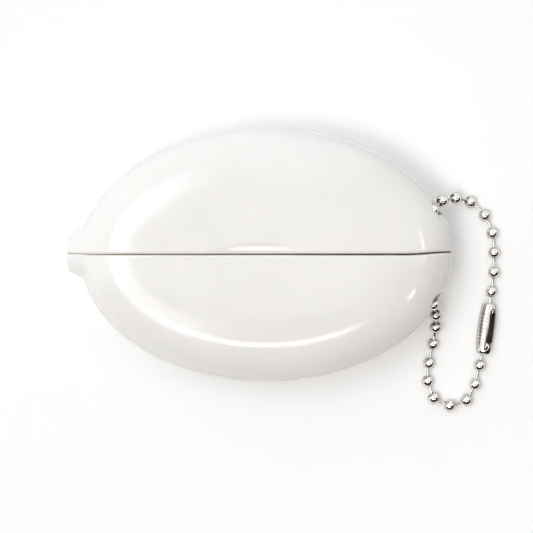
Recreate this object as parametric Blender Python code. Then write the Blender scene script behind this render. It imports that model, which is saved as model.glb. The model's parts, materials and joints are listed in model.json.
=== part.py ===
"""Coin pouch: an oval squeeze pouch of soft moulded plastic with a slit front and a ball chain.

The pouch lies on its back. X runs along the slit towards the chain, Y across it and Z up, in metres.
The origin is the middle of the flat back, so the back rests at height zero.

The pouch is one moulding on the real object. Here it is the back with the rim, and two lips that
part along the slit. The chain is hollow balls on headed pins, closed by a rolled sleeve.
"""

import math

import bmesh
import bpy
from mathutils import Matrix, Vector

# Pouch outline and height
POUCH_HALF_LENGTH = 0.0369
POUCH_HALF_WIDTH = 0.0253
POUCH_HEIGHT = 0.0175
RIM_SHARE = 0.457  # of the pouch's height, where the outline is widest
RIM_HEIGHT = POUCH_HEIGHT * RIM_SHARE
BACK_FLAT_HALF_WIDTH = 0.0110
CROWN_FLAT_HALF_WIDTH = 0.0030
END_ROUNDING_SHARE = 0.78  # how fast the ends draw in, as a share of how fast the sides do
FRONT_FULLNESS = 2.8  # power of the front's rounded section: 2 is an ellipse, more is boxier
BACK_FULLNESS = 2.5
WALL = 0.0022
POUCH_POINTS = 44
FRONT_RINGS = 7
BACK_RINGS = 6
CAVITY_POINTS = 36
CAVITY_RINGS = 5

# Slit and the parting between the lips and the back
SLIT_WIDTH = 0.0004
SLIT_Y = 0.0003
LIP_SEAT_SHARE = 0.617  # of the pouch's height, where the lips sit on the back
LIP_SEAT_HEIGHT = POUCH_HEIGHT * LIP_SEAT_SHARE
PARTING_GAP = 0.0003

# Eased edges of the slit, as a groove over the crown that fades out towards both ends
GROOVE_DEPTH = 0.0008
GROOVE_HALF_WIDTH = 0.0007
GROOVE_END_SHARE = 0.7  # of the rise from the rim to the crown, where the groove runs out
GROOVE_FULL_SHARE = 0.86  # the same, where it has its full depth

# Nub at the left end, where the slit runs out
NUB_LENGTH = 0.0033
NUB_ROOT = 0.0042  # how far it reaches back into the wall
NUB_HALF_WIDTH = 0.0043
NUB_HALF_HEIGHT = 0.0037
NUB_DROP = 0.0016  # of its centre line below the lips' seat
NUB_HEIGHT = LIP_SEAT_HEIGHT - NUB_DROP
NUB_POINTS = 16
NUB_SHAPE_SHARES = ((0, 1.5), (0.28, 1.32), (0.55, 1.06), (0.78, 0.9), (0.93, 0.68), (1, 0.42))

# Cross hole for the chain, through the solid right end
HOLE_RADIUS = 0.0020
HOLE_COVER = 0.0005  # between the hole and the lips' seat
HOLE_HEIGHT = LIP_SEAT_HEIGHT - HOLE_RADIUS - HOLE_COVER
MOUTH_INSET = 0.0015  # from the rim in to the middle of the ball at each mouth
HOLE_WALL = 0.0016  # between the hole and the cavity
HOLE_POINTS = 20
MOUTH_FLARE = 0.0005  # how much wider the hole gets at its mouths
MOUTH_FLARE_DEPTH = 0.0030
MOUTH_RISE = 0.0008  # how far each mouth is scooped up and towards the slit
SCOOP_RADIUS = 0.0023  # of the hollow in the rim that bares the ball at each mouth
SCOOP_INSET = 0.0012  # from the end of the cross hole in to the hollow's axis
SCOOP_OUT = 0.0012  # from the rim out to the hollow's axis
SCOOP_POINTS = 20
# The hollow's rounded foot: the rise from the hole's axis, and the radius there.
SCOOP_SHARES = ((-0.95, 0.35), (-0.81, 0.76), (-0.55, 1))

# Ball chain
BALL_RADIUS = 0.0012
BALL_WALL = 0.00018
BALL_HOLE_RADIUS = 0.00062
BALL_POINTS = 10
BALL_OUTER_STEPS = 6
BALL_INNER_STEPS = 4
PIN_RADIUS = 0.00028
PIN_LENGTH = 0.00296  # between the centres of its two heads
HEAD_RADIUS = 0.00066
HEAD_BASE = 0.00005  # flat rim behind the head's dome
PIN_POINTS = 8
HEAD_STEPS = 2
DRAWN_DEPTH = 0.00050  # of a head's centre from its ball's centre, pulled tight
SLACK_DEPTH = 0.00034  # the same, pushed in
TABLE_CLEARANCE = 0.00002
HOLE_CLEARANCE = 0.0003  # under the balls that lie in the cross hole

# Sleeve connector
SLEEVE_LENGTH = 0.0103
SLEEVE_RADIUS = 0.0017
SLEEVE_WALL = 0.00022
SLEEVE_END_RADIUS = 0.0012
SLEEVE_SHOULDER = 0.0009  # length of each drawn-in end
SHOULDER_SHARES = ((1, 1), (0.55, 0.24), (0, 0))  # along a shoulder, and of how far it draws in
SLEEVE_PIN_HOLE_RADIUS = 0.0007
SLEEVE_POINTS = 16
SLOT_WIDTH = 0.0012
SLOT_LAND = 0.0011  # from the sleeve's far end to where the slot begins; it runs out at the other end
SLOT_TILT = 45  # degrees up from the table
END_BALL_CLEARANCE = 0.0001  # between an end ball and its drawn-in end
OPEN_END_GAP = 0.0003  # between the last pin and the sleeve, where the loop opens

# The chain's run: each row is one pitch, as its heading in degrees clockwise from +Y, its share
# of the drop from the hole to the table, and how slack it is, from 0 drawn to 1 pushed in. The
# last pitch of each run goes up from the table into the sleeve.
HOLE_BALLS = 6
HOLE_SLACK_SHARE = 0.6
HOLE_CHAIN_SHIFT = -0.0006  # how far the chain has slid through the hole
STEEPEST_SHARE = 0.765  # the most that a pitch may drop, of its own length
UPPER_RUN_SHARES = (
    (47, 0.36, 0.7),
    (78, 0.34, 0.7),
    (103, 0.30, 0.5),
    (133, 0, 0),
    (157, 0, 0),
    (175, 0, 0),
    (181, 0, 0),
    (187, 0, 0),
    (190, 0, 0),
)
SLEEVE_HEADING = 187.0
LOWER_RUN_SHARES = (
    (163, 0.42, 1),
    (178, 0.40, 1),
    (190, 0.18, 1),
    (194, 0, 0),
    (186, 0, 1),
    (162, 0, 1),
    (118, 0, 1),
    (74, 0, 1),
    (30, 0, 1),
    (16, 0, 0),
    (14, 0, 0),
)
FIT_ROUNDS = 12
TRIAL_TURN = 1.0
TRIAL_STRETCH_SHARE = 0.01

VINYL = ((0.86, 0.855, 0.84), 0.22, 0.0)
NICKEL = ((0.62, 0.61, 0.59), 0.18, 1.0)
NAME_CUTTER = "cutter_"
CUT_OVERRUN = 0.0020
SHARP_DEGREES = 35


def clear_scene():
    for item in list(bpy.data.objects):
        bpy.data.objects.remove(item, do_unlink=True)


def material(name, look):
    colour, roughness, metallic = look
    made = bpy.data.materials.new(name)
    made.use_nodes = True
    shader = made.node_tree.nodes["Principled BSDF"]
    shader.inputs["Base Color"].default_value = (*colour, 1.0)
    shader.inputs["Roughness"].default_value = roughness
    shader.inputs["Metallic"].default_value = metallic
    return made


def mesh_from(name, points, faces):
    mesh = bpy.data.meshes.new(name)
    work = bmesh.new()
    corners = [work.verts.new(point) for point in points]
    for face in faces:
        work.faces.new([corners[index] for index in face])
    bmesh.ops.recalc_face_normals(work, faces=work.faces)
    work.to_mesh(mesh)
    work.free()
    smooth(mesh)
    return mesh


def smooth(mesh):
    """Shades a mesh smooth, but keeps its sharper edges."""
    mesh.shade_smooth()
    mesh.set_sharp_from_angle(angle=math.radians(SHARP_DEGREES))


def add_object(name, mesh, parent=None):
    made = bpy.data.objects.new(name, mesh)
    bpy.context.scene.collection.objects.link(made)
    made.parent = parent
    return made


def dress(piece, look):
    """Gives an object a material of its own and names its mesh."""
    piece.data.name = piece.name
    piece.data.materials.clear()
    piece.data.materials.append(material(piece.name, look))


def loft(rings):
    """Points and faces of a closed skin through rings of equally many points, with flat ends."""
    count = len(rings[0])
    points = [point for ring in rings for point in ring]
    faces = [tuple(range(count))[::-1]]
    for row in range(len(rings) - 1):
        start = row * count
        for index in range(count):
            after = (index + 1) % count
            faces.append((start + index, start + after, start + count + after, start + count + index))
    last = (len(rings) - 1) * count
    faces.append(tuple(range(last, last + count)))
    return points, faces


def turned(profile, count):
    """Points and faces of a closed profile of (radius, height) pairs turned about Z."""
    points = []
    for radius, height in profile:
        for index in range(count):
            turn = 2 * math.pi * index / count
            points.append((radius * math.cos(turn), radius * math.sin(turn), height))
    faces = []
    for row in range(len(profile)):
        start, following = row * count, (row + 1) % len(profile) * count
        for index in range(count):
            after = (index + 1) % count
            faces.append((start + index, start + after, following + after, following + index))
    return points, faces


def boolean(target, operation, other):
    """Applies one exact Boolean to the target's mesh and drops the other object."""
    modifier = target.modifiers.new(operation.lower(), "BOOLEAN")
    modifier.operation = operation
    modifier.solver = "EXACT"
    modifier.object = other
    bpy.context.view_layer.update()
    graph = bpy.context.evaluated_depsgraph_get()
    result = bpy.data.meshes.new_from_object(target.evaluated_get(graph))
    target.modifiers.remove(modifier)
    target.data = result
    bpy.data.objects.remove(other, do_unlink=True)


def box(name, low, high):
    corners = [(x, y, z) for x in (low[0], high[0]) for y in (low[1], high[1]) for z in (low[2], high[2])]
    faces = [(0, 1, 3, 2), (4, 6, 7, 5), (0, 4, 5, 1), (2, 3, 7, 6), (0, 2, 6, 4), (1, 5, 7, 3)]
    return add_object(NAME_CUTTER + name, mesh_from(name, corners, faces))


def section(half_flat, half_width, height, fullness, rings):
    """(half width, height) pairs of a rounded section, from the rim to its flat."""
    pairs = []
    for step in range(rings + 1):
        turn = math.pi / 2 * step / rings
        across = max(math.cos(turn), 0) ** (2 / fullness)
        up = math.sin(turn) ** (2 / fullness)
        pairs.append((half_flat + (half_width - half_flat) * across, height * up))
    return pairs


def oval(centre_x, half_length, half_width, height, count):
    return [
        (
            centre_x + half_length * math.cos(2 * math.pi * index / count),
            half_width * math.sin(2 * math.pi * index / count),
            height,
        )
        for index in range(count)
    ]


def rounded_oval(name, centre_x, half_length, half_width, low, rim, high, count, rings):
    """A solid oval body that is flat at its low and high ends."""
    back = section(BACK_FLAT_HALF_WIDTH, half_width, rim - low, BACK_FULLNESS, rings[0])
    front = section(CROWN_FLAT_HALF_WIDTH, half_width, high - rim, FRONT_FULLNESS, rings[1])
    levels = [(width, rim - drop) for width, drop in reversed(back[1:])]
    levels += [(width, rim + rise) for width, rise in front]
    skins = []
    for width, height in levels:
        length = half_length - (half_width - width) * END_ROUNDING_SHARE
        skins.append(oval(centre_x, length, width, height, count))
    return add_object(NAME_CUTTER + name, mesh_from(name, *loft(skins)))


def nub():
    """The nub, lofted from its root in the wall to its tip."""
    tip = -POUCH_HALF_LENGTH - NUB_LENGTH
    root = -POUCH_HALF_LENGTH + NUB_ROOT
    skins = []
    for along, width in NUB_SHAPE_SHARES:
        ring = []
        for index in range(NUB_POINTS):
            turn = 2 * math.pi * index / NUB_POINTS
            ring.append(
                (
                    root + (tip - root) * along,
                    NUB_HALF_WIDTH * width * math.cos(turn),
                    NUB_HEIGHT + NUB_HALF_HEIGHT * width * math.sin(turn),
                )
            )
        skins.append(ring)
    return add_object(NAME_CUTTER + "nub", mesh_from("nub", *loft(skins)))


def mouth_y():
    """Half the length of the cross hole: what its balls need."""
    return hole_ball_span() / 2 + MOUTH_INSET


def hole_x():
    """The hole crosses the right end where the rim is as wide as the hole is long."""
    return POUCH_HALF_LENGTH * math.sqrt(1 - (mouth_y() / POUCH_HALF_WIDTH) ** 2)


def cross_hole():
    """The chain's hole with flared mouths, as a cutter."""
    mouth = mouth_y()
    past = 1 + CUT_OVERRUN / MOUTH_FLARE_DEPTH  # the flare goes on outside the pouch
    stations = (
        (-mouth - CUT_OVERRUN, past),
        (-mouth + MOUTH_FLARE_DEPTH, 0),
        (mouth - MOUTH_FLARE_DEPTH, 0),
        (mouth + CUT_OVERRUN, past),
    )
    skins = []
    for along, share in stations:
        radius = HOLE_RADIUS + MOUTH_FLARE * share
        ring = []
        for index in range(HOLE_POINTS):
            turn = 2 * math.pi * index / HOLE_POINTS
            x = hole_x() - MOUTH_RISE * share + radius * math.cos(turn)
            z = HOLE_HEIGHT + MOUTH_RISE * share + radius * math.sin(turn)
            ring.append((x, along, z))
        skins.append(ring)
    return add_object(NAME_CUTTER + "hole", mesh_from("hole", *loft(skins)))


def scoop(side):
    """A hollow in the rim over one mouth of the cross hole, as a cutter with a rounded foot."""
    y = mouth_y() - SCOOP_INSET
    x = POUCH_HALF_LENGTH * math.sqrt(1 - (y / POUCH_HALF_WIDTH) ** 2)
    rim = Vector((x, side * y, 0))
    out = Vector((x / POUCH_HALF_LENGTH**2, rim.y / POUCH_HALF_WIDTH**2, 0)).normalized()
    axis = rim + out * SCOOP_OUT
    levels = [(HOLE_HEIGHT + SCOOP_RADIUS * rise, SCOOP_RADIUS * width) for rise, width in SCOOP_SHARES]
    levels.append((POUCH_HEIGHT + CUT_OVERRUN, SCOOP_RADIUS))
    skins = []
    for height, radius in levels:
        ring = oval(axis.x, radius, radius, height, SCOOP_POINTS)
        skins.append([(px, py + axis.y, pz) for px, py, pz in ring])
    return add_object(NAME_CUTTER + "scoop", mesh_from("scoop", *loft(skins)))


def cavity():
    left = -POUCH_HALF_LENGTH + WALL
    right = hole_x() - HOLE_RADIUS - HOLE_WALL
    return rounded_oval(
        "cavity",
        (left + right) / 2,
        (right - left) / 2,
        POUCH_HALF_WIDTH - WALL,
        WALL,
        RIM_HEIGHT,
        POUCH_HEIGHT - WALL,
        CAVITY_POINTS,
        (CAVITY_RINGS, CAVITY_RINGS),
    )


def crown_path():
    """(x, z, groove share) along the top of the pouch, from the left end of the groove to the right."""
    levels = section(CROWN_FLAT_HALF_WIDTH, POUCH_HALF_WIDTH, 1, FRONT_FULLNESS, FRONT_RINGS)
    side = []
    for width, rise_share in levels:
        if rise_share < GROOVE_END_SHARE:
            continue
        length = POUCH_HALF_LENGTH - (POUCH_HALF_WIDTH - width) * END_ROUNDING_SHARE
        height = RIM_HEIGHT + (POUCH_HEIGHT - RIM_HEIGHT) * rise_share
        share = (rise_share - GROOVE_END_SHARE) / (GROOVE_FULL_SHARE - GROOVE_END_SHARE)
        side.append((length, height, min(share, 1)))
    return [(-x, z, share) for x, z, share in side] + side[::-1]


def groove():
    """A cutter that eases the slit's edges, a wedge that follows the crown."""
    path = crown_path()
    skins = []
    for index, (x, z, share) in enumerate(path):
        before, after = path[max(index - 1, 0)], path[min(index + 1, len(path) - 1)]
        out = Vector((before[1] - after[1], 0, after[0] - before[0])).normalized()
        place = Vector((x, SLIT_Y, z))
        apex = place - out * GROOVE_DEPTH * share
        top = place + out * CUT_OVERRUN
        spread = (top - apex).length * GROOVE_HALF_WIDTH / GROOVE_DEPTH
        skins.append([apex, top + Vector((0, spread, 0)), top - Vector((0, spread, 0))])
    return add_object(NAME_CUTTER + "groove", mesh_from("groove", *loft(skins)))


def pouch_shell():
    shell = rounded_oval(
        "shell",
        0,
        POUCH_HALF_LENGTH,
        POUCH_HALF_WIDTH,
        0,
        RIM_HEIGHT,
        POUCH_HEIGHT,
        POUCH_POINTS,
        (BACK_RINGS, FRONT_RINGS),
    )
    boolean(shell, "UNION", nub())
    boolean(shell, "DIFFERENCE", cavity())
    boolean(shell, "DIFFERENCE", cross_hole())
    boolean(shell, "DIFFERENCE", scoop(1))
    boolean(shell, "DIFFERENCE", scoop(-1))
    boolean(shell, "DIFFERENCE", groove())
    return shell


def far(share=1):
    return share * (POUCH_HALF_LENGTH + NUB_LENGTH + CUT_OVERRUN)


def piece_of(shell, name, low, high, look):
    """The part of the shell inside one box, as an object of its own."""
    piece = add_object(name, shell.data.copy())
    boolean(piece, "INTERSECT", box(name, low, high))
    smooth(piece.data)
    dress(piece, look)


def make_pouch():
    shell = pouch_shell()
    lip_base = LIP_SEAT_HEIGHT + PARTING_GAP
    top = POUCH_HEIGHT + CUT_OVERRUN
    half_slit = SLIT_WIDTH / 2
    upper_edge, lower_edge = SLIT_Y + half_slit, SLIT_Y - half_slit
    piece_of(shell, "pouch_back", (-far(), -far(), -CUT_OVERRUN), (far(), far(), LIP_SEAT_HEIGHT), VINYL)
    piece_of(shell, "upper_lip", (-far(), upper_edge, lip_base), (far(), far(), top), VINYL)
    piece_of(shell, "lower_lip", (-far(), -far(), lip_base), (far(), lower_edge, top), VINYL)
    bpy.data.objects.remove(shell, do_unlink=True)


def arc(radius, first, last, steps):
    """(radius, height) pairs along a circle, by angle from +Z."""
    return [
        (
            radius * math.sin(first + (last - first) * step / steps),
            radius * math.cos(first + (last - first) * step / steps),
        )
        for step in range(steps + 1)
    ]


def ball_mesh():
    """A hollow ball with a round hole at each pole."""
    inner = BALL_RADIUS - BALL_WALL
    outer_edge = math.asin(BALL_HOLE_RADIUS / BALL_RADIUS)
    inner_edge = math.asin(BALL_HOLE_RADIUS / inner)
    profile = arc(BALL_RADIUS, outer_edge, math.pi - outer_edge, BALL_OUTER_STEPS)
    profile += arc(inner, math.pi - inner_edge, inner_edge, BALL_INNER_STEPS)
    return mesh_from("ball", *turned(profile, BALL_POINTS))


def pin_profile():
    """One end of a pin, from the wire to the flat behind the head, by distance from the head's centre."""
    neck = math.asin(PIN_RADIUS / HEAD_RADIUS)
    dome = arc(HEAD_RADIUS, neck, math.pi / 2, HEAD_STEPS)
    return dome + [(HEAD_RADIUS, -HEAD_BASE)]


def pin_mesh(name, ends):
    """A pin along +Z from its first head's centre, with a head at one end or at both.

    Each end is (height, is_head). A bare end stops square.
    """
    (low, low_head), (high, high_head) = ends
    profile = []
    if low_head:
        profile += [(radius, low + rise) for radius, rise in reversed(pin_profile())]
    else:
        profile.append((PIN_RADIUS, low))
    if high_head:
        profile += [(radius, high - rise) for radius, rise in pin_profile()]
    else:
        profile.append((PIN_RADIUS, high))
    rings = [
        [
            (
                radius * math.cos(2 * math.pi * index / PIN_POINTS),
                radius * math.sin(2 * math.pi * index / PIN_POINTS),
                height,
            )
            for index in range(PIN_POINTS)
        ]
        for radius, height in profile
    ]
    return mesh_from(name, *loft(rings))


def sleeve_mesh():
    """The rolled sleeve along Z about its middle, drawn in at both ends, without its slot."""
    half = SLEEVE_LENGTH / 2
    shoulder = half - SLEEVE_SHOULDER
    outer = [(SLEEVE_PIN_HOLE_RADIUS, half)]
    for along, inward in SHOULDER_SHARES:
        radius = SLEEVE_RADIUS - (SLEEVE_RADIUS - SLEEVE_END_RADIUS) * inward
        outer.append((radius, shoulder + SLEEVE_SHOULDER * along))
    inner = [
        (SLEEVE_RADIUS - SLEEVE_WALL, shoulder),
        (SLEEVE_END_RADIUS - SLEEVE_WALL, half - SLEEVE_WALL),
        (SLEEVE_PIN_HOLE_RADIUS, half - SLEEVE_WALL),
    ]
    profile = outer + [(radius, -height) for radius, height in reversed(outer)]
    profile += [(radius, -height) for radius, height in reversed(inner)] + inner
    return mesh_from("sleeve", *turned(profile, SLEEVE_POINTS))


def heading(degrees):
    turn = math.radians(degrees)
    return Vector((math.sin(turn), math.cos(turn), 0))


def depth(slack):
    return DRAWN_DEPTH + (SLACK_DEPTH - DRAWN_DEPTH) * slack


def hole_ball_height():
    return HOLE_HEIGHT - HOLE_RADIUS + BALL_RADIUS + HOLE_CLEARANCE


def table_ball_height():
    return BALL_RADIUS + TABLE_CLEARANCE


def sleeve_height():
    return SLEEVE_RADIUS + TABLE_CLEARANCE


def hole_pitch():
    return PIN_LENGTH + 2 * depth(HOLE_SLACK_SHARE)


def hole_ball_y(index):
    """Where a ball of the cross hole lies along it: 0 is the ball at the upper mouth."""
    return HOLE_CHAIN_SHIFT + hole_ball_span() / 2 - index * hole_pitch()


def hole_ball_span():
    return (HOLE_BALLS - 1) * hole_pitch()


def run_centres(start, rows, spacings):
    """Ball centres along a run: each pitch drops by its share, and the last rises into the sleeve.

    A share that would drop too steeply leaves the rest of its drop to the next pitch.
    """
    drop = hole_ball_height() - table_ball_height()
    centres = [start]
    left = 0.0
    for (degrees, share, _), spacing in zip(rows, spacings):
        wanted = share * drop + left
        fall = min(wanted, STEEPEST_SHARE * spacing)
        left = wanted - fall
        if len(centres) == len(rows):
            fall = table_ball_height() - sleeve_height()
        flat = math.sqrt(spacing**2 - fall**2)
        centres.append(centres[-1] + heading(degrees) * flat - Vector((0, 0, fall)))
    return centres


def ball_axes(centres, first_axis, last_axis):
    """Each ball's axis halves the bend at it, but the last one lies along the sleeve."""
    ways = [(after - before).normalized() for before, after in zip(centres, centres[1:])]
    halved = [(before + after).normalized() for before, after in zip([first_axis] + ways, ways)]
    return halved + [last_axis]


def fitted_run(start, rows, first_axis, last_axis):
    """(centres, axes) of a run whose pins are all PIN_LENGTH long between their heads."""
    spacings = [PIN_LENGTH + 2 * depth(slack) for _, _, slack in rows]
    for _ in range(FIT_ROUNDS):
        centres = run_centres(start, rows, spacings)
        axes = ball_axes(centres, first_axis, last_axis)
        for index, (_, _, slack) in enumerate(rows):
            way = (centres[index + 1] - centres[index]).normalized()
            both = (axes[index] + axes[index + 1]) * depth(slack)
            along = way.dot(both)
            spacings[index] = along + math.sqrt(along**2 - both.dot(both) + PIN_LENGTH**2)
    return run_centres(start, rows, spacings), axes


def turned_rows(rows, turn, stretch):
    """A run with all its headings turned, and its bends past the first pitch stretched."""
    first = rows[0][0]
    return [(first + turn + (row[0] - first) * stretch, row[1], row[2]) for row in rows]


def closed_run(start, rows, first_axis, last_axis, goal):
    """The run whose last ball meets the goal, found by turning and stretching its headings."""
    turn, stretch = 0.0, 1.0
    for _ in range(FIT_ROUNDS):
        centres, axes = fitted_run(start, turned_rows(rows, turn, stretch), first_axis, last_axis)
        miss = goal - centres[-1]
        more_turn = turned_rows(rows, turn + TRIAL_TURN, stretch)
        more_stretch = turned_rows(rows, turn, stretch + TRIAL_STRETCH_SHARE)
        a = fitted_run(start, more_turn, first_axis, last_axis)[0][-1] - centres[-1]
        b = fitted_run(start, more_stretch, first_axis, last_axis)[0][-1] - centres[-1]
        spread = a.x * b.y - a.y * b.x
        turn += TRIAL_TURN * (miss.x * b.y - miss.y * b.x) / spread
        stretch += TRIAL_STRETCH_SHARE * (a.x * miss.y - a.y * miss.x) / spread
    return centres, axes


def end_ball_offset():
    """From the sleeve's middle to the centre of an end ball, seated against its drawn-in end."""
    return SLEEVE_LENGTH / 2 - SLEEVE_WALL - BALL_RADIUS - END_BALL_CLEARANCE


def chain_layout():
    """The ball centres in the hole, the two runs as (centres, axes), and the sleeve's places."""
    south, north = Vector((0, -1, 0)), Vector((0, 1, 0))
    z = hole_ball_height()
    hole_centres = [Vector((hole_x(), hole_ball_y(index), z)) for index in range(HOLE_BALLS)]
    sleeve_way = heading(SLEEVE_HEADING)
    upper = fitted_run(hole_centres[0], UPPER_RUN_SHARES, north, sleeve_way)
    middle = upper[0][-1] + sleeve_way * end_ball_offset()
    last_end = middle + sleeve_way * end_ball_offset()
    lower = closed_run(hole_centres[-1], LOWER_RUN_SHARES, south, -sleeve_way, last_end)
    return {"hole": hole_centres, "upper": upper, "lower": lower, "sleeve": (middle, sleeve_way)}


def pivot(name, place, parent=None, parent_place=None):
    """An empty on a joint's axis."""
    made = add_object(name, None, parent)
    made.location = place - parent_place if parent else place
    made.empty_display_size = BALL_RADIUS
    return made


def placed(name, mesh, centre, way, parent, parent_place):
    """A nickel piece with its own copy of a mesh, whose +Z points along a way, held by a pivot."""
    made = add_object(name, mesh.copy(), parent)
    dress(made, NICKEL)
    made.rotation_mode = "QUATERNION"
    made.rotation_quaternion = way.to_track_quat("Z", "Y")
    made.location = centre - parent_place


def make_hole_chain(layout, ball, pin):
    """The balls and pins that lie in the cross hole, on a pivot on the hole's axis."""
    centres = layout["hole"]
    place = Vector((hole_x(), 0, HOLE_HEIGHT))
    holder = pivot("hole_chain_pivot", place)
    first_axis, last_axis = layout["upper"][1][0], -layout["lower"][1][0]
    north = Vector((0, 1, 0))
    axes = [first_axis] + [north] * (HOLE_BALLS - 2) + [last_axis]
    for index, centre in enumerate(centres):
        placed(f"hole_ball_{index + 1}", ball, centre, axes[index], holder, place)
    for index in range(HOLE_BALLS - 1):
        start = centres[index] - axes[index] * depth(HOLE_SLACK_SHARE)
        end = centres[index + 1] + axes[index + 1] * depth(HOLE_SLACK_SHARE)
        placed(f"hole_pin_{index + 1}", pin, start, (end - start).normalized(), holder, place)
    return holder, place


def seats(run, rows, index):
    """The centres of a pin's two heads, in the ball before it and in the ball after it."""
    centres, axes = run
    share = rows[index][2]
    return centres[index] + axes[index] * depth(share), centres[index + 1] - axes[index + 1] * depth(share)


def make_run(side, run, rows, names, ball, pin, holder, place):
    """A run of pins and balls, each on a pivot at the head that it turns on."""
    centres, axes = run
    for index, name in enumerate(names):
        out, into = seats(run, rows, index)
        pin_name = f"{side}_pin_{index + 1}"
        pin_pivot = pivot(f"{pin_name}_pivot", out, holder, place)
        placed(pin_name, pin, out, (into - out).normalized(), pin_pivot, out)
        holder, place = pivot(f"{name}_pivot", into, pin_pivot, out), into
        placed(name, ball, centres[index + 1], axes[index + 1], holder, place)
    return holder, place


def make_sleeve(layout, ball, holder, place):
    """The sleeve and the end ball in its far end, which swivel on the ball in its near end."""
    middle, way = layout["sleeve"]
    swivel = pivot("sleeve_swivel", middle, holder, place)
    placed("sleeve", slotted_sleeve(), middle, way, swivel, middle)
    placed("sleeve_ball_2", ball, middle + way * end_ball_offset(), way, swivel, middle)


def slotted_sleeve():
    """The sleeve's mesh with the slot that its last ball snaps in through."""
    blank = add_object(NAME_CUTTER + "sleeve", sleeve_mesh())
    end = SLEEVE_LENGTH / 2
    half = SLOT_WIDTH / 2
    slot = box("slot", (0, -half, SLOT_LAND - end), (far(), half, end + CUT_OVERRUN))
    boolean(blank, "DIFFERENCE", slot)
    mesh = blank.data
    bpy.data.objects.remove(blank, do_unlink=True)
    mesh.transform(Matrix.Rotation(math.radians(SLOT_TILT), 4, "Z"))
    smooth(mesh)
    return mesh


def make_open_pin(layout, name, holder, place):
    """The lower run's last pin, whose far end stops short of the sleeve."""
    middle, way = layout["sleeve"]
    out, into = seats(layout["lower"], LOWER_RUN_SHARES, len(LOWER_RUN_SHARES) - 1)
    along = (into - out).normalized()
    mouth = middle + way * (SLEEVE_LENGTH / 2 + OPEN_END_GAP)
    reach = (mouth - out).dot(way) / along.dot(way)
    pin_pivot = pivot(f"{name}_pivot", out, holder, place)
    placed(name, pin_mesh("open_pin", ((0, True), (reach, False))), out, along, pin_pivot, out)


def make_chain():
    layout = chain_layout()
    ball = ball_mesh()
    pin = pin_mesh("pin", ((0, True), (PIN_LENGTH, True)))
    start = make_hole_chain(layout, ball, pin)
    last_upper, last_lower = len(UPPER_RUN_SHARES), len(LOWER_RUN_SHARES)
    names = [f"upper_ball_{number}" for number in range(1, last_upper)] + ["sleeve_ball_1"]
    end = make_run("upper", layout["upper"], UPPER_RUN_SHARES, names, ball, pin, *start)
    make_sleeve(layout, ball, *end)
    names = [f"lower_ball_{number}" for number in range(1, last_lower)]
    end = make_run("lower", layout["lower"], LOWER_RUN_SHARES, names, ball, pin, *start)
    make_open_pin(layout, f"lower_pin_{last_lower}", *end)


def main():
    clear_scene()
    make_pouch()
    make_chain()


main()
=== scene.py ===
"""Looks of the coin pouch: soft glossy vinyl skins, a nickel ball chain, studio light and camera.

Lengths in the constants are millimetres, unless a comment says otherwise. The frame is in metres,
X along the slit, Z up.
"""

import json
import math

import bmesh
import bpy
import numpy as np
from mathutils import Matrix, Quaternion, Vector


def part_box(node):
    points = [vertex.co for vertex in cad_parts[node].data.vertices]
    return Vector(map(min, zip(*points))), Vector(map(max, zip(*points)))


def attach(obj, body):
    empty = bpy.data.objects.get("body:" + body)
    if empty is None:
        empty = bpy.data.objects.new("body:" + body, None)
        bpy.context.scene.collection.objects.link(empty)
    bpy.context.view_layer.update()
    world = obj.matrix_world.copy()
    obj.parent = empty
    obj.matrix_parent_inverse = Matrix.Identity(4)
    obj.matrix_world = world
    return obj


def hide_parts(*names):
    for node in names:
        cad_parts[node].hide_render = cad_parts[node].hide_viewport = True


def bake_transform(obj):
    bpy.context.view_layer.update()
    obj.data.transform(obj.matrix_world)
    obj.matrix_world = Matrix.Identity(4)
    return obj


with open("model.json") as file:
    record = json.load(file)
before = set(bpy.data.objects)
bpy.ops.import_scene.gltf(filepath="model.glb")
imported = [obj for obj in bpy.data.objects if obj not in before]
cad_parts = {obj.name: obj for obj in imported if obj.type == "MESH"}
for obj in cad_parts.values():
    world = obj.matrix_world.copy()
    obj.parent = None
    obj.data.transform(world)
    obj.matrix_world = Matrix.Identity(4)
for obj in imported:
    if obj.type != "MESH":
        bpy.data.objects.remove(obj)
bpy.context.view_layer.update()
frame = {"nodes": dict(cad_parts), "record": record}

MM = 0.001

# Pouch: the outer skin and the cavity as (centre x, half length, half width, low, rim, high)
OUTER = (0.0, 36.9, 25.3, 0.0, 8.0, 17.5)
INNER = (-2.5, 32.2, 23.1, 2.2, 8.0, 15.3)
BACK_FLAT, CROWN_FLAT = 11.0, 3.0
END_ROUNDING = 0.78
BACK_FULLNESS, FRONT_FULLNESS = 2.5, 2.8

# The slit, by x, and its middle line's y: straight, with a bend at each end
SLIT_HALF_WIDTHS = ((-39.0, -36.0, -28.0, 0.0, 30.0, 36.9), (0.0, 0.015, 0.05, 0.09, 0.14, 0.09))
SLIT_FOOT = (8.6, 11.4)  # heights between which the slit closes
SEAM_Y = -0.05
RIGHT_BEND, RIGHT_BEND_FROM_TO = 0.5, (27, 36.9)
LEFT_BEND, LEFT_BEND_FROM_TO = 0.25, (33, 40)
LIP_ROUND = 0.55  # radius of the slit's edges
SEAM_REACH, SEAM_FACING = 0.8, 0.9  # which faces are the slit's wall: near the seam, and turned to it

# The dip beside the slit in the upper lip
LENS_X, LENS_HALF_LENGTH, LENS_WIDTH = -1.2, 9.0, 2.6
LENS_SLOPE, LENS_FLAT = 0.277, 0.75

NUB_REACH, NUB_HEIGHT = 2.6, 9.2
NUB_SPREADS = {1: (2.9, 6.6), -1: (3.2, 5.1)}  # by side: distances between which the nub fades out

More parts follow.
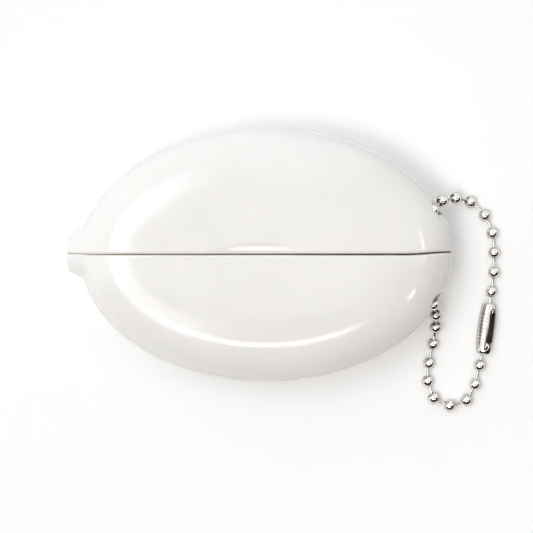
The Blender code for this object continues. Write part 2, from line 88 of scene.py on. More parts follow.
# The cross hole, and the round hollows in the rim at its two mouths
HOLE_X, HOLE_HEIGHT, HOLE_RADIUS, HOLE_REACH = 33.286, 8.2975, 2.05, 14.5
SCOOP_Y, SCOOP_OUT, SCOOP_RADIUS, SCOOP_RISE, SCOOP_LIFT = 9.5, 1.1, 2.55, 7.0, 4.2
CUTTER_SIDES = 40
SCOOP_LEVELS, SCOOP_TIP = 25, 0.03  # the tip is in radians

# The skins' rings: distances from the seam, columns round a quarter, and points of a dense section
OUTER_STEPS = (0, 0.07, 0.16, 0.3, 0.5, 0.8, 1.2, 1.7, 2.3, 2.9, 3.5, 4.1, 4.8, 5.6, 6.5, 7.6, 8.9)
OUTER_STEPS += (10.3, 11.8, 13.3, 14.8, 16.3, 17.7, 19.0, 20.2, 21.3, 22.3, 23.2, 23.9, 24.5, 24.9)
OUTER_STEPS += (25.15,)
INNER_STEPS = (0, 1, 2.4, 4, 6, 8, 10, 12, 14, 16, 17.8, 19.4, 20.8, 21.9, 22.6, 22.95)
QUARTER = 36
RIM_CROWDING = 1.35  # above 1, columns stand closer together towards the rim
CURVE_POINTS, FLAT_POINTS = 260, 60
SKIN_SHARP, CHAIN_SHARP = 46, 50  # degrees

# Chain
BALL_RADIUS, BALL_WALL, BALL_HOLE = 1.2, 0.18, 0.645
BALL_SIDES, BALL_OUTER_STEPS, BALL_INNER_STEPS = 36, 22, 10
BALL_SPIN = 0.7  # radians from one ball to the next
RIM_BACK = 0.10  # radians from the hole's edge to where its rolled rim begins
RIM_DROP, RIM_ROLL = 0.015, 0.05
HOLE_SHADE_RADIUS = 0.80  # how far the painted shade round a ball's holes reaches
PIN_RADIUS, HEAD_RADIUS, PIN_LENGTH = 0.255, 0.66, 2.96
PIN_SIDES, HEAD_STEPS = 18, 7
HEAD_BASE = 0.05  # depth of the rim behind the head of a solid's pin
# Behind a head here the rim is less deep than the solid's, and narrower by the trim. With the
# solid's own rim, three pairs of these finer heads met inside a ball at some joints' limits.
HEAD_BACK, HEAD_TRIM = 0.02, 0.12
NECK_BACK = 0.12  # radians from the wire to where the dome ends
NECK_FILLET = ((0.01, 0.03), (0.0, 0.08))  # (past the wire's radius, past the dome)
BARE_END = 0.06  # chamfer of the open pin's bare end

# Sleeve
SLEEVE_RADIUS, SLEEVE_WALL, SLEEVE_HALF = 1.7, 0.22, 5.15
SLEEVE_END, SLEEVE_HOLE = 1.2, 0.86
SLEEVE_SIDES = 64
SHOULDER = ((SLEEVE_END, 0.08), (1.31, 0.24), (1.41, 0.55), (1.49, 1.0), (1.57, 1.7))  # from the end
BARREL = ((1.64, 2.4), (1.685, 1.2))  # (radius, distance from the middle)
THROAT, THROAT_BACK = 0.98, 0.02
INNER_SHOULDER = ((1.23, 0.6), (1.31, 1.2))  # (radius, distance from the end)
INNER_BARREL = 1.8
SLOT_TILT, SLOT_HALF, SLOT_LAND = math.radians(36), 0.72, 1.1
SLOT_DEPTHS, SLOT_OVERRUN = (0.2, 3), 1

# The sleeve's stamped ticks, with lengths in metres and turns in radians: rows in radians of their
# wave per metre, columns in waves round the sleeve, and where the field fades in and out.
TICK_ROWS, TICK_COLUMNS, TICK_SLANT = 8600, 15, 1.3
TICK_START, TICK_STOP = (-0.0036, -0.0033), (0.0030, 0.0033)
TICK_FROM, TICK_TO = (0.75, 0.85), (1.65, 1.75)
TICK_DEPTH, TICK_COVER = 0.00004, 0.85

# Colours
VINYL_STOPS = ((0.3, (0.845, 0.832, 0.815)), (0.7, (0.885, 0.876, 0.862)))
# Painted shade: the slit's wall is coloured a dark tan for the shade inside the slit
SLIT_SHADE_STOPS = ((0.3, (0.66, 0.575, 0.46)), (0.7, (0.75, 0.68, 0.58)))
NICKEL_STOPS = ((0.30, (0.88, 0.845, 0.77)), (0.55, (1, 0.975, 0.925)), (0.75, (1.06, 1.045, 1.01)))
EDGE_TINT = (0.04, 0.035, 0.03, 1)  # nickel's darker reflection at a glancing angle
TICK_DARK = (0.12, 0.09, 0.06, 1)
TENT_WARM, TENT_COOL = (1.0, 0.80, 0.64, 1), (0.965, 0.985, 1.0, 1)
KEY_COLOUR = (1.0, 0.975, 0.94)

# The floor's size is in metres. The key lamp is in watts, metres, and degrees off straight up and
# from +X.
FLOOR_SIZE, FLOOR_DROP = 6.0, 0.01
KEY_POWER, KEY_SIZE, KEY_DISTANCE, KEY_WAY = 0.42, 0.12, 0.6, (17, 218)

# Brightness, where 1 is white paper in full light
FLOOR_GLOW = 0.18
WALL_BRIGHT = 0.81  # the walls as a lamp
WALL_SEEN = 1.0  # the walls as metal and vinyl mirror them
STRIP, TAIL, GLINT, GAP = 3.5, 8.0, 9.0, 0.02

BRIGHT_SIDE = (-0.5, 0.85, 0.1)  # towards the brighter walls

# Patches of the tent in degrees: (from, to, inner edge, outer edge) off straight up, and
# (azimuth, half width, edge)
GAP_PATCH = (35, 92, 3, 5), (284, 74, 10)
PRONG_PATCHES = [((14, 38, 3, 3), (turn, 13, 6)) for turn in (232, 280, 328)]
STRIP_PATCH = (22, 38, 7, 1.5), (182, 62, 16)
TAIL_PATCH = (29.5, 33, 1, 1), (264, 27, 8)
GLINT_PATCH = (38.5, 41, 1, 1), (8, 12, 6)
TICK_PATCH = (40, 45, 1, 1), (-36, 3, 2)

# Camera, in metres: FRAME_WIDTH is what it sees across, FRAME_HEIGHT above the table
CAMERA_PLACE = (0.0001, -0.0024, 0.42)
FRAME_WIDTH, FRAME_HEIGHT = 0.1066, 0.006
SENSOR = 36  # millimetres


# Mesh helpers


def smoothstep(low, high, value):
    t = np.clip((value - low) / (high - low), 0.0, 1.0)
    return t * t * (3 - 2 * t)


def scene_object(name, data):
    made = bpy.data.objects.new(name, data)
    bpy.context.scene.collection.objects.link(made)
    return made


def object_from(name, points, faces, look, sharp=40):
    """A mesh object from points in millimetres."""
    mesh = bpy.data.meshes.new(name)
    corners = [tuple(p) for p in np.asarray(points, float) * MM]
    mesh.from_pydata(corners, [], [list(map(int, f)) for f in faces])
    mesh.update()
    tidy = bmesh.new()
    tidy.from_mesh(mesh)
    bmesh.ops.remove_doubles(tidy, verts=tidy.verts, dist=1e-7)
    bmesh.ops.recalc_face_normals(tidy, faces=tidy.faces)
    tidy.to_mesh(mesh)
    tidy.free()
    mesh.shade_smooth()
    mesh.set_sharp_from_angle(angle=math.radians(sharp))
    made = scene_object(name, mesh)
    if look:
        mesh.materials.append(look)
    return made


def bridge(first, second):
    """Quads between two closed loops of point indices."""
    count = len(first)
    return [(first[i], first[(i + 1) % count], second[(i + 1) % count], second[i]) for i in range(count)]


def loop(start, count):
    """The indices of one closed loop of points."""
    return list(range(start, start + count))


def tube(rows, count, start=0):
    """Quads that join rows of points, each a closed loop."""
    faces = []
    for row in range(rows - 1):
        first = start + row * count
        faces += bridge(loop(first, count), loop(first + count, count))
    return faces


def turned(profile, count):
    """The points of a (radius, height) profile turned about Z."""
    turns = np.arange(count) * 2 * math.pi / count
    rows = [np.stack([r * np.cos(turns), r * np.sin(turns), np.full(count, h)], 1) for r, h in profile]
    return np.concatenate(rows)


def lathe(profile, count):
    """Points and faces of a turned profile that closes on itself."""
    last = (len(profile) - 1) * count
    return turned(profile, count), tube(len(profile), count) + bridge(loop(last, count), loop(0, count))


def capped(profile, count):
    """Points and faces of a turned profile with a flat cap at both ends."""
    caps = [tuple(loop(0, count)), tuple(loop((len(profile) - 1) * count, count))]
    return turned(profile, count), tube(len(profile), count) + caps


def cut(piece, cutter):
    """Takes a cutter out of a piece, and then out of the scene."""
    modifier = piece.modifiers.new("cut", "BOOLEAN")
    modifier.operation = "DIFFERENCE"
    modifier.solver = "EXACT"
    modifier.object = cutter
    bpy.context.view_layer.update()
    graph = bpy.context.evaluated_depsgraph_get()
    made = bpy.data.meshes.new_from_object(piece.evaluated_get(graph))
    piece.modifiers.clear()
    piece.data = made
    bpy.data.objects.remove(cutter, do_unlink=True)


# Materials


class Nodes:
    """Short calls for building a node material."""

    def __init__(self, name):
        self.material = bpy.data.materials.new(name)
        self.material.use_nodes = True
        self.tree = self.material.node_tree
        self.shader = self.tree.nodes["Principled BSDF"]
        self.place = self.add("ShaderNodeTexCoord").outputs["Object"]

    @classmethod
    def of(cls, material):
        """The same calls for a material that is already built."""
        made = cls.__new__(cls)
        made.material = material
        made.tree = material.node_tree
        made.shader = made.tree.nodes["Principled BSDF"]
        coordinates = next(n for n in made.tree.nodes if n.bl_idname == "ShaderNodeTexCoord")
        made.place = coordinates.outputs["Object"]
        return made

    def add(self, kind, **values):
        node = self.tree.nodes.new(kind)
        for key, value in values.items():
            setattr(node, key, value)
        return node

    def link(self, out, into):
        self.tree.links.new(out, into)

    def scaled(self, size):
        node = self.add("ShaderNodeMapping")
        self.link(self.place, node.inputs["Vector"])
        node.inputs["Scale"].default_value = size
        return node.outputs["Vector"]

    def noise(self, scale, detail, rough, vector=None):
        node = self.add("ShaderNodeTexNoise")
        self.link(vector or self.place, node.inputs["Vector"])
        node.inputs["Scale"].default_value = scale
        node.inputs["Detail"].default_value = detail
        node.inputs["Roughness"].default_value = rough
        return node.outputs["Fac"]

    def ramp(self, value, stops):
        node = self.add("ShaderNodeValToRGB")
        self.link(value, node.inputs["Fac"])
        ramp = node.color_ramp
        while len(ramp.elements) < len(stops):
            ramp.elements.new(0.5)
        for element, (place, colour) in zip(ramp.elements, stops):
            element.position = place
            element.color = (*colour, 1)
        return node.outputs["Color"]

    def span(self, value, low, high, first, last, kind="LINEAR"):
        """A value taken from one range to another, and held at its ends."""
        node = self.add("ShaderNodeMapRange", interpolation_type=kind)
        self.link(value, node.inputs["Value"])
        for key, number in zip(("From Min", "From Max", "To Min", "To Max"), (low, high, first, last)):
            node.inputs[key].default_value = number
        return node.outputs["Result"]

    def math(self, operation, first, second):
        node = self.add("ShaderNodeMath", operation=operation)
        for socket, value in zip(node.inputs, (first, second)):
            if isinstance(value, (int, float)):
                socket.default_value = value
            else:
                self.link(value, socket)
        return node.outputs["Value"]

    def bump(self, height, strength, distance, onto=None):
        node = self.add("ShaderNodeBump")
        self.link(height, node.inputs["Height"])
        node.inputs["Strength"].default_value = strength
        node.inputs["Distance"].default_value = distance
        if onto:
            self.link(onto, node.inputs["Normal"])
        return node.outputs["Normal"]

    def set(self, **values):
        for key, value in values.items():
            socket = self.shader.inputs[key.replace("_", " ")]
            if isinstance(value, bpy.types.NodeSocket):
                self.link(value, socket)
            else:
                socket.default_value = value
        return self.material


def vinyl():
    """Glossy off-white moulded vinyl: faint mottling, soft waviness and a few fine rubs."""
    n = Nodes("vinyl_skin")
    cloudy = n.noise(60, 3, 0.55)
    grain = n.noise(900, 2, 0.5)
    rubs = n.noise(1.0, 4, 0.6, n.scaled((260, 1500, 500)))
    mottled = n.span(cloudy, 0.3, 0.7, 0.08, 0.12)
    soft = n.bump(cloudy, 0.12, 0.0004)
    return n.set(
        Base_Color=n.ramp(cloudy, VINYL_STOPS),
        Roughness=n.math("ADD", mottled, n.span(rubs, 0.62, 0.8, 0.0, 0.10)),
        Normal=n.bump(grain, 0.05, 0.00005, soft),
        Subsurface_Weight=0.12,
        Subsurface_Radius=(1.0, 0.75, 0.6),
        Subsurface_Scale=0.0015,
        IOR=1.5,
    )


def slit_painted_shade():
    """The vinyl inside the slit, matt where the knife left it, and painted a dark tan as the slit's shade:
    the real wall is the same off-white vinyl.
    """
    n = Nodes("slit_painted_shade")
    return n.set(Base_Color=n.ramp(n.noise(300, 3, 0.6), SLIT_SHADE_STOPS), Roughness=0.55)


def nickel(name, rough=0.05, tone=0.90):
    """Bright nickel plate with faint tarnish, tumbling marks and small dents."""
    n = Nodes(name)
    patch = n.noise(700, 3, 0.6)
    marks = n.noise(4200, 2, 0.5)
    uneven = n.bump(patch, 0.22, 0.00006)
    return n.set(
        Base_Color=n.ramp(patch, [(at, [tone * c for c in colour]) for at, colour in NICKEL_STOPS]),
        Metallic=1.0,
        Roughness=n.span(patch, 0.3, 0.75, rough + 0.06, rough),
        Normal=n.bump(marks, 0.10, 0.00001, uneven),
        Specular_Tint=EDGE_TINT,
    )


def stamped_nickel(place):
    """The sleeve's plate, with a field of short ticks on its left flank, pressed in and darker."""
    n = Nodes.of(nickel("sleeve_nickel", 0.08, 0.84))
    local = n.add("ShaderNodeMapping", vector_type="TEXTURE")
    n.link(n.place, local.inputs["Vector"])
    local.inputs["Location"].default_value = place.to_translation()
    local.inputs["Rotation"].default_value = place.to_euler()
    parts = n.add("ShaderNodeSeparateXYZ")
    n.link(local.outputs["Vector"], parts.inputs["Vector"])
    turn = n.math("ARCTAN2", parts.outputs["Y"], parts.outputs["X"])
    run = parts.outputs["Z"]
    slant = n.math("ADD", n.math("MULTIPLY", run, TICK_ROWS), n.math("MULTIPLY", turn, TICK_SLANT))
    rows = n.math("SINE", slant, 0.0)
    columns = n.math("SINE", n.math("MULTIPLY", turn, TICK_COLUMNS), 0.0)
    rows, columns = n.span(rows, -0.15, 0.25, 0.0, 1.0), n.span(columns, -0.3, 0.2, 0.0, 1.0)
    ticks, inside = n.math("MULTIPLY", rows, columns), []
    for value, start, stop in ((run, TICK_START, TICK_STOP), (turn, TICK_FROM, TICK_TO)):
        inside.append(n.math("MULTIPLY", n.span(value, *start, 0.0, 1.0), n.span(value, *stop, 1.0, 0.0)))
    ticks = n.math("MULTIPLY", ticks, n.math("MULTIPLY", *inside))
    plain, normal = (n.shader.inputs[key].links[0].from_socket for key in ("Base Color", "Normal"))
    mix = n.add("ShaderNodeMix", data_type="RGBA")
    n.link(n.math("MULTIPLY", ticks, TICK_COVER), mix.inputs["Factor"])
    n.link(plain, mix.inputs[6])
    mix.inputs[7].default_value = TICK_DARK
    pressed = n.bump(n.math("SUBTRACT", 1.0, ticks), 0.5, TICK_DEPTH, normal)
    return n.set(Base_Color=mix.outputs[2], Normal=pressed)


# The pouch's skins


def section_curve(body, front, y):
    """One quarter of a section at a given y, from x = 0 to the rim, as dense (x, z) rows."""
    _, half_length, half_width, low, rim, high = body
    flat = min(CROWN_FLAT if front else BACK_FLAT, half_width)
    full = FRONT_FULLNESS if front else BACK_FULLNESS
    rise = (high - rim) if front else (low - rim)
    share = np.clip((y - flat) / (half_width - flat), 0.0, 1.0)
    last = math.acos(share ** (full / 2))
    turn = last * (1 - np.linspace(0, 1, CURVE_POINTS) ** 2)
    across = flat + (half_width - flat) * np.cos(turn).clip(0) ** (2 / full)
    length = half_length - (half_width - across) * END_ROUNDING
    x = length * np.sqrt(np.clip(1 - (y / np.maximum(across, y + 1e-12)) ** 2, 0, 1))
    z = rim + rise * np.sin(turn).clip(0) ** (2 / full)
    if y < flat:
        inner = np.linspace(0, x[0], FLAT_POINTS, endpoint=False)
        x, z = np.concatenate([inner, x]), np.concatenate([np.full(FLAT_POINTS, z[0]), z])
    return x, z


def spread(curve, fractions):
    """A dense curve resampled at fractions of its length."""
    x, z = curve
    run = np.concatenate([[0], np.cumsum(np.hypot(np.diff(x), np.diff(z)))])
    if run[-1] < 1e-9:
        return np.full(len(fractions), x[0]), np.full(len(fractions), z[0])
    return np.interp(fractions * run[-1], run, x), np.interp(fractions * run[-1], run, z)


def ring(body, y):
    """A closed loop round the section at y, from the top's middle by the right end, as (x, z)."""
    steps = np.arange(QUARTER) / QUARTER
    out = 1 - (1 - steps) ** RIM_CROWDING
    back = np.concatenate([[1.0], 1 - steps[1:] ** RIM_CROWDING])
    front_curve, back_curve = section_curve(body, True, y), section_curve(body, False, y)
    fx, fz = spread(front_curve, out)
    bx, bz = spread(back_curve, back)
    gx, gz = spread(back_curve, out)
    hx, hz = spread(front_curve, back)
    return np.concatenate([fx, bx, -gx, -hx]) + body[0], np.concatenate([fz, bz, gz, hz])


def inward(x, z):
    """Unit normals into a loop."""
    dx, dz = np.roll(x, -1) - np.roll(x, 1), np.roll(z, -1) - np.roll(z, 1)
    size = np.maximum(np.hypot(dx, dz), 1e-9)
    nx, nz = -dz / size, dx / size
    flip = np.sign(((x.mean() - x) * nx + (z.mean() - z) * nz).sum())
    return nx * flip, nz * flip


def seam_y(x):
    """The slit's middle line: straight, with a small bend at each end."""
    right = RIGHT_BEND * smoothstep(*RIGHT_BEND_FROM_TO, x)
    return SEAM_Y + right + LEFT_BEND * smoothstep(*LEFT_BEND_FROM_TO, -x)


def lens_dip(x, step):
    """How far the upper lip falls off towards the slit, in a lens beside its middle."""
    lens = np.clip(1 - ((x - LENS_X) / LENS_HALF_LENGTH) ** 2, 0, 1)
    width = LENS_WIDTH * np.sqrt(lens) + 1e-6
    across = np.clip(step / width, 0, 1)
    tail = np.clip((across - LENS_FLAT) / (1 - LENS_FLAT), 0, 1)
    soft = (1 - LENS_FLAT) * ((1 - tail) - (1 - tail**3) + (1 - tail**4) / 2)
    return LENS_SLOPE * width * (np.clip(LENS_FLAT - across, 0, None) + soft)


def skin_rings(body, steps, side, outside):
    """Rings of points from the seam outwards. The outside has the rounded slit, nub and dip."""
    rings = []
    for step in steps:
        x, z = ring(body, step)
        share = smoothstep(*SLIT_FOOT, z)
        if outside:
            radius = LIP_ROUND * share
            nx, nz = inward(x, z)
            inside = np.clip(radius - step, 0, None)
            drop = radius - np.sqrt(np.clip(radius**2 - inside**2, 0, None))
            x, z = x + nx * drop, z + nz * drop
            reach = np.hypot(step, z - NUB_HEIGHT)
            push = NUB_REACH * (1 - smoothstep(*NUB_SPREADS[side], reach))
            x = np.where(x < body[0], x - push, x)
            if side > 0:
                z = z - lens_dip(x, step) * (z > body[4])
        far_out = step / body[2]
        half = np.interp(x, *SLIT_HALF_WIDTHS) * share
        y = seam_y(x) * (1 - far_out) + side * (half * (1 - far_out) + step)
        rings.append(np.stack([x, y, z], 1))
    return rings


def half_skin(name, side, look, slit_shade_look):
    """One half of the pouch: its outer skin, the cavity's skin, and the face at the seam."""
    outer = skin_rings(OUTER, OUTER_STEPS, side, True)
    inner = skin_rings(INNER, INNER_STEPS, side, False)
    count = 4 * QUARTER
    inner_start = len(outer) * count
    points = [p for row in outer + inner for p in row]
    faces = tube(len(outer), count) + tube(len(inner), count, inner_start)
    for body, rings, start in ((OUTER, outer, 0), (INNER, inner, inner_start)):
        last = start + (len(rings) - 1) * count
        points.append((body[0], side * body[2], body[4]))
        pole = len(points) - 1
        faces += [(last + i, last + (i + 1) % count, pole) for i in range(count)]
    faces += bridge(loop(0, count), loop(inner_start, count))
    made = object_from(name, points, faces, look, SKIN_SHARP)
    made.data.materials.append(slit_shade_look)
    for face in made.data.polygons:
        if side * face.normal.y < -SEAM_FACING and abs(face.center.y) < SEAM_REACH * MM:
            # these faces take the slit's painted shade
            face.material_index = 1
    cut(made, hole_cutter())
    cut(made, scoop_cutter(side))
    made.data.shade_smooth()
    made.data.set_sharp_from_angle(angle=math.radians(SKIN_SHARP))
    return made


def as_cutter(points, faces):
    made = object_from("cutter", points, faces, None)
    made.hide_render = True
    return made


def hole_cutter():
    """The cross hole."""
    points = []
    for y in (-HOLE_REACH, HOLE_REACH):
        for t in np.arange(CUTTER_SIDES) * 2 * math.pi / CUTTER_SIDES:
            points.append((HOLE_X + HOLE_RADIUS * math.cos(t), y, HOLE_HEIGHT + HOLE_RADIUS * math.sin(t)))
    caps = [tuple(loop(0, CUTTER_SIDES)), tuple(loop(CUTTER_SIDES, CUTTER_SIDES))]
    return as_cutter(points, tube(2, CUTTER_SIDES) + caps)


def scoop_cutter(side):
    """The round hollow in the rim that bares the ball at one mouth of the hole."""
    x = OUTER[1] * math.sqrt(1 - (SCOOP_Y / OUTER[2]) ** 2)
    out = Vector((x / OUTER[1] ** 2, SCOOP_Y / OUTER[2] ** 2)).normalized() * SCOOP_OUT
    levels = np.linspace(SCOOP_TIP, math.pi - SCOOP_TIP, SCOOP_LEVELS)
    profile = [(SCOOP_RADIUS * math.sin(t), SCOOP_RISE * math.cos(t)) for t in levels]
    points, faces = capped(profile, CUTTER_SIDES)
    centre = (x + out.x, side * (SCOOP_Y + out.y), HOLE_HEIGHT + SCOOP_LIFT)
    return as_cutter(points + centre, faces)


# The chain's pieces


def node_points(node):
    mesh = frame["nodes"][node].data
    points = np.array([v.co for v in mesh.vertices], float) / MM
    return np.unique(np.round(points, 5), axis=0)


def node_pose(node):
    """(centre, axis) of a turned node, from its own points."""
    points = node_points(node)
    middle = points.mean(0)
    values, vectors = np.linalg.eigh(np.cov((points - middle).T))
    axis = vectors[:, 0] if values[1] - values[0] > values[2] - values[1] else vectors[:, 2]
    return middle, axis


def arc(radius, first, last, steps):
    """Points (radius, height) of an arc between two angles off +Z."""
    turns = np.linspace(first, last, steps + 1)
    return [(radius * math.sin(t), radius * math.cos(t)) for t in turns]


def ball_profile():
    """A hollow ball whose pole holes have small rolled-in rims."""
    inner = BALL_RADIUS - BALL_WALL
    edge, inside = math.asin(BALL_HOLE / BALL_RADIUS), math.asin(BALL_HOLE / inner)
    edge += RIM_BACK
    outer = arc(BALL_RADIUS, edge, math.pi - edge, BALL_OUTER_STEPS)
    height = BALL_RADIUS * math.cos(edge) - RIM_DROP
    rim = [(BALL_HOLE + RIM_ROLL, height), (BALL_HOLE, height - RIM_ROLL)]
    lower_rim = [(r, -h) for r, h in reversed(rim)]
    return rim[::-1] + outer + lower_rim + arc(inner, math.pi - inside, inside, BALL_INNER_STEPS)


def head_profile():
    """One end of a pin, from the flat behind its head to the wire, by height over the head's centre."""
    neck = math.asin(PIN_RADIUS / HEAD_RADIUS)
    dome = arc(HEAD_RADIUS, math.pi / 2, neck + NECK_BACK, HEAD_STEPS)
    start = HEAD_RADIUS * math.cos(neck)
    fillet = [(PIN_RADIUS + out, start + rise) for out, rise in NECK_FILLET]
    return [(HEAD_RADIUS - HEAD_TRIM, -HEAD_BACK)] + dome + fillet


def put(piece, centre, axis, spin=0.0):
    """Turns a piece's mesh, so that +Z lies along an axis, and moves it to a centre in millimetres."""
    turn = Vector(axis).to_track_quat("Z", "Y") @ Quaternion((0, 0, 1), spin)
    piece.data.transform(Matrix.Translation(Vector(centre) * MM) @ turn.to_matrix().to_4x4())


def body_holding(node):
    for name, nodes in frame["record"]["behaviour"]["bodies"].items():
        if node in nodes:
            return name
    raise ValueError(node)


def chain_piece(piece, node):
    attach(piece, body_holding(node))
    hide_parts(node)


def make_balls(look, hole_shade_look):
    """The balls, darker round their two holes and on the inside: painted shade in the hollows."""
    points, faces = lathe(ball_profile(), BALL_SIDES)
    names = sorted(n for n in frame["nodes"] if "_ball_" in n)
    for index, node in enumerate(names):
        made = object_from("bead_" + node, points, faces, look, CHAIN_SHARP)
        made.data.materials.append(hole_shade_look)
        for face in made.data.polygons:
            x, y, z = face.center / MM
            near_hole = math.hypot(x, y) < HOLE_SHADE_RADIUS
            # painted shade: faces round the holes and inside the ball take a darker nickel
            if near_hole or math.hypot(x, y, z) < BALL_RADIUS - BALL_WALL / 2:
                face.material_index = 1
        put(made, *node_pose(node), BALL_SPIN * index)
        chain_piece(made, node)


def make_pins(look):
    """The pins. The open one has a head at one end only, and its bare end stops short of the sleeve."""
    head = head_profile()
    for node in sorted(n for n in frame["nodes"] if "_pin_" in n):
        points = node_points(node)
        mean, axis = node_pose(node)
        run = (points - mean) @ axis
        if node == "lower_pin_11":
            radii = np.linalg.norm((points - mean) - np.outer(run, axis), axis=1)
            if run[np.argmax(radii)] > 0:
                axis, run = -axis, -run
            start = mean + axis * (run.min() + HEAD_BASE)
            reach = run.max() - run.min() - HEAD_BASE
            far_end = [(PIN_RADIUS, reach - BARE_END), (PIN_RADIUS - BARE_END, reach)]
        else:
            middle = mean + axis * (run.min() + run.max()) / 2
            start = middle - axis * PIN_LENGTH / 2
            far_end = [(r, PIN_LENGTH - h) for r, h in reversed(head)]
        made = object_from("link_" + node, *capped(head + far_end, PIN_SIDES), look, CHAIN_SHARP)
        put(made, start, axis)
        chain_piece(made, node)


def sleeve_profile():
    """The rolled connector along Z: the shell between two radii."""
    half = [(SLEEVE_HOLE, SLEEVE_HALF), (SLEEVE_END - SLEEVE_WALL, SLEEVE_HALF)]
    half += [(r, SLEEVE_HALF - back) for r, back in SHOULDER] + list(BARREL)
    outer = half + [(SLEEVE_RADIUS, 0.0)] + [(r, -h) for r, h in reversed(half)]
    end = SLEEVE_HALF - SLEEVE_WALL
    half = [(SLEEVE_HOLE, end), (THROAT, end - THROAT_BACK)]
    half += [(r, SLEEVE_HALF - back) for r, back in INNER_SHOULDER]
    half += [(SLEEVE_RADIUS - SLEEVE_WALL, INNER_BARREL)]
    return outer + [(r, -h) for r, h in half] + half[::-1]


def sleeve_frame():
    """Where the sleeve lies: +Z along it towards its open end, +X out through its slot."""
    _, axis = node_pose("sleeve")
    axis = Vector(axis) * (-1 if axis[1] > 0 else 1)
    out = Vector((math.sin(SLOT_TILT), 0, math.cos(SLOT_TILT)))
    out = (out - axis * out.dot(axis)).normalized()
    low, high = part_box("sleeve")
    turn = Matrix((out, axis.cross(out), axis)).transposed().to_4x4()
    return Matrix.Translation((Vector(low) + Vector(high)) / 2) @ turn


def slot_cutter():
    ends = (SLOT_LAND - SLEEVE_HALF, SLEEVE_HALF + SLOT_OVERRUN)
    corners = [(x, y, z) for x in SLOT_DEPTHS for y in (-SLOT_HALF, SLOT_HALF) for z in ends]
    faces = [(0, 1, 3, 2), (4, 6, 7, 5), (0, 4, 5, 1), (2, 3, 7, 6), (0, 2, 6, 4), (1, 5, 7, 3)]
    return as_cutter(corners, faces)


def make_sleeve(look, inside):
    points, faces = lathe(sleeve_profile(), SLEEVE_SIDES)
    made = object_from("sleeve_tube", points, faces, look, CHAIN_SHARP)
    made.data.materials.append(inside)
    for face in made.data.polygons:
        if face.center.x * face.normal.x + face.center.y * face.normal.y < 0:
            # painted shade: the sleeve's inner faces take a darker nickel
            face.material_index = 1
    cut(made, slot_cutter())
    made.data.set_sharp_from_angle(angle=math.radians(CHAIN_SHARP))
    made.data.transform(sleeve_frame())
    chain_piece(made, "sleeve")


# The studio


def towards(polar, azimuth):
    """A unit vector from its angle off straight up and its turn from +X, in degrees."""
    off, turn = math.radians(polar), math.radians(azimuth)
    return Vector((math.sin(off) * math.cos(turn), math.sin(off) * math.sin(turn), math.cos(off)))


def studio_floor():
    """A white floor that glows a little where the camera or a mirror sees it."""
    bpy.ops.mesh.primitive_plane_add(size=FLOOR_SIZE, location=(0, 0, -FLOOR_DROP * MM))
    floor = bpy.context.object
    floor.name = "studio_floor"
    n = Nodes("floor_white")
    n.set(Base_Color=(0.97, 0.97, 0.97, 1), Roughness=1.0, Specular_IOR_Level=0.0)
    seen = n.add("ShaderNodeLightPath").outputs
    any_seen = n.math("MAXIMUM", seen["Is Camera Ray"], seen["Is Glossy Ray"])
    any_seen = n.math("MAXIMUM", any_seen, seen["Is Transmission Ray"])
    mix, glow = n.add("ShaderNodeMixShader"), n.add("ShaderNodeEmission")
    n.link(n.math("MULTIPLY", any_seen, FLOOR_GLOW), mix.inputs["Fac"])
    n.link(n.shader.outputs["BSDF"], mix.inputs[1])
    n.link(glow.outputs["Emission"], mix.inputs[2])
    n.link(mix.outputs["Shader"], n.tree.nodes["Material Output"].inputs["Surface"])
    floor.data.materials.append(n.material)


def key_light():
    """A disk lamp that no metal or vinyl mirrors: the strip in the tent is what they show."""
    light = bpy.data.lights.new("key", "AREA")
    light.shape = "DISK"
    light.size = KEY_SIZE
    light.energy = KEY_POWER
    light.color = KEY_COLOUR
    made = scene_object("key", light)
    place = towards(*KEY_WAY) * KEY_DISTANCE
    made.location = place
    made.rotation_mode = "QUATERNION"
    made.rotation_quaternion = (-place).to_track_quat("-Z", "Y")
    made.visible_glossy = False


def cosine(degrees):
    return math.cos(math.radians(degrees))


class Tent(Nodes):
    """The studio's walls as a world: brightness by direction."""

    def __init__(self, name):
        world = bpy.data.worlds.new(name)
        bpy.context.scene.world = world
        world.use_nodes = True
        self.tree = world.node_tree
        self.background = self.tree.nodes["Background"]
        self.way = self.add("ShaderNodeTexCoord").outputs["Generated"]
        parts = self.add("ShaderNodeSeparateXYZ")
        self.link(self.way, parts.inputs["Vector"])
        self.up = parts.outputs["Z"]
        level = self.add("ShaderNodeCombineXYZ")
        self.link(parts.outputs["X"], level.inputs["X"])
        self.link(parts.outputs["Y"], level.inputs["Y"])
        unit = self.add("ShaderNodeVectorMath", operation="NORMALIZE")
        self.link(level.outputs["Vector"], unit.inputs[0])
        self.level = unit.outputs["Vector"]

    def along(self, way, direction):
        node = self.add("ShaderNodeVectorMath", operation="DOT_PRODUCT")
        self.link(way, node.inputs[0])
        node.inputs[1].default_value = direction
        return node.outputs["Value"]

    def soft(self, value, low, high, first=0.0, last=1.0):
        return self.span(value, low, high, first, last, "SMOOTHSTEP")

    def polar_band(self, inner, outer, inner_edge, outer_edge):
        """1 between two angles off straight up, fading over the given edges."""
        low = self.soft(self.up, cosine(outer + outer_edge), cosine(outer))
        high = self.soft(self.up, cosine(inner), cosine(inner - inner_edge), 1.0, 0.0)
        return self.math("MULTIPLY", low, high)

    def sector(self, azimuth, half, edge):
        """1 within half an angle of an azimuth, fading over an edge."""
        middle = self.along(self.level, towards(90, azimuth))
        return self.soft(middle, cosine(half + edge), cosine(half))

    def patch(self, band, sector):
        return self.math("MULTIPLY", self.polar_band(*band), self.sector(*sector))


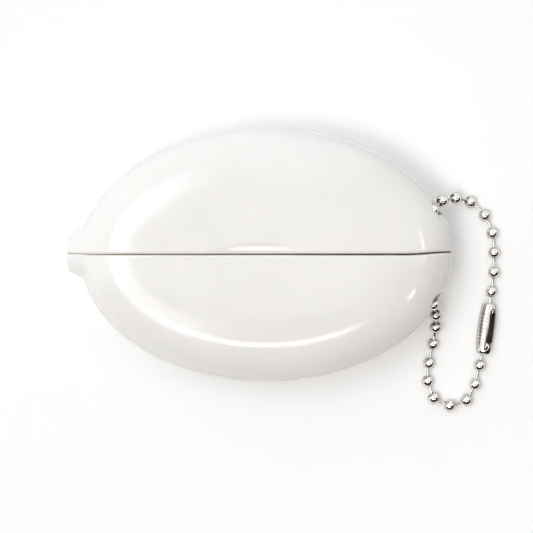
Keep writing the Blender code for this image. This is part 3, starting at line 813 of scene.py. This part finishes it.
def studio_world():
    """A white tent, brighter behind and to the left, with lamps and a dark gap towards the viewer."""
    t = Tent("tent")
    side = t.along(t.way, BRIGHT_SIDE)
    lit, seen = t.soft(side, -1.0, 1.0, 0.0, WALL_BRIGHT), t.soft(side, -1.0, 0.1, 0.0, WALL_SEEN)
    rays = t.add("ShaderNodeLightPath").outputs
    mirrored = t.math("MULTIPLY", rays["Is Glossy Ray"], t.math("SUBTRACT", seen, lit))
    wall = t.math("ADD", lit, mirrored)
    gap = t.patch(*GAP_PATCH)
    for prong in PRONG_PATCHES:
        gap = t.math("MAXIMUM", gap, t.patch(*prong))
    lamps = t.math("MULTIPLY", t.math("ADD", t.patch(*GLINT_PATCH), t.patch(*TICK_PATCH)), GLINT)
    for patch, strength in ((STRIP_PATCH, STRIP), (TAIL_PATCH, TAIL)):
        lamps = t.math("ADD", lamps, t.math("MULTIPLY", t.patch(*patch), strength))
    bright = t.math("ADD", t.math("MULTIPLY", wall, t.math("SUBTRACT", 1.0, gap)), lamps)
    bright = t.math("ADD", bright, t.math("MULTIPLY", gap, GAP))
    colour = t.add("ShaderNodeMix", data_type="RGBA")
    t.link(t.soft(side, -1.0, 0.3), colour.inputs["Factor"])
    colour.inputs[6].default_value = TENT_WARM
    colour.inputs[7].default_value = TENT_COOL
    t.link(colour.outputs[2], t.background.inputs["Color"])
    t.link(bright, t.background.inputs["Strength"])
    plain, choice = t.add("ShaderNodeBackground"), t.add("ShaderNodeMixShader")
    plain.inputs["Color"].default_value = (1, 1, 1, 1)
    backdrop = t.math("MAXIMUM", rays["Is Camera Ray"], rays["Is Transmission Ray"])
    t.link(backdrop, choice.inputs["Fac"])
    t.link(t.background.outputs["Background"], choice.inputs[1])
    t.link(plain.outputs["Background"], choice.inputs[2])
    t.link(choice.outputs["Shader"], t.tree.nodes["World Output"].inputs["Surface"])


def camera():
    """Straight down on the pouch, as in the photograph."""
    data = bpy.data.cameras.new("camera")
    data.sensor_width = SENSOR
    data.lens = SENSOR * (CAMERA_PLACE[2] - FRAME_HEIGHT) / FRAME_WIDTH
    made = scene_object("camera", data)
    made.location = CAMERA_PLACE
    bpy.context.scene.camera = made


def main():
    bpy.context.scene.view_settings.view_transform = "Standard"
    skin = vinyl()
    # the slit's wall, painted a dark tan as shade
    walls = slit_painted_shade()
    upper = half_skin("skin_upper", 1, skin, walls)
    lower = half_skin("skin_lower", -1, skin, walls)
    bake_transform(upper)
    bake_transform(lower)
    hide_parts("upper_lip", "pouch_back")
    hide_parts("lower_lip", "pouch_back")
    # the balls' second nickel is painted shade round their holes and inside
    make_balls(nickel("bead_nickel"), nickel("bead_hole_shade", 0.25, 0.34))
    make_pins(nickel("link_nickel", 0.12, 0.74))
    # the sleeve's inside is painted darker as shade
    make_sleeve(stamped_nickel(sleeve_frame()), nickel("sleeve_inside_shade", 0.40, 0.46))
    studio_floor()
    key_light()
    studio_world()
    camera()


main()
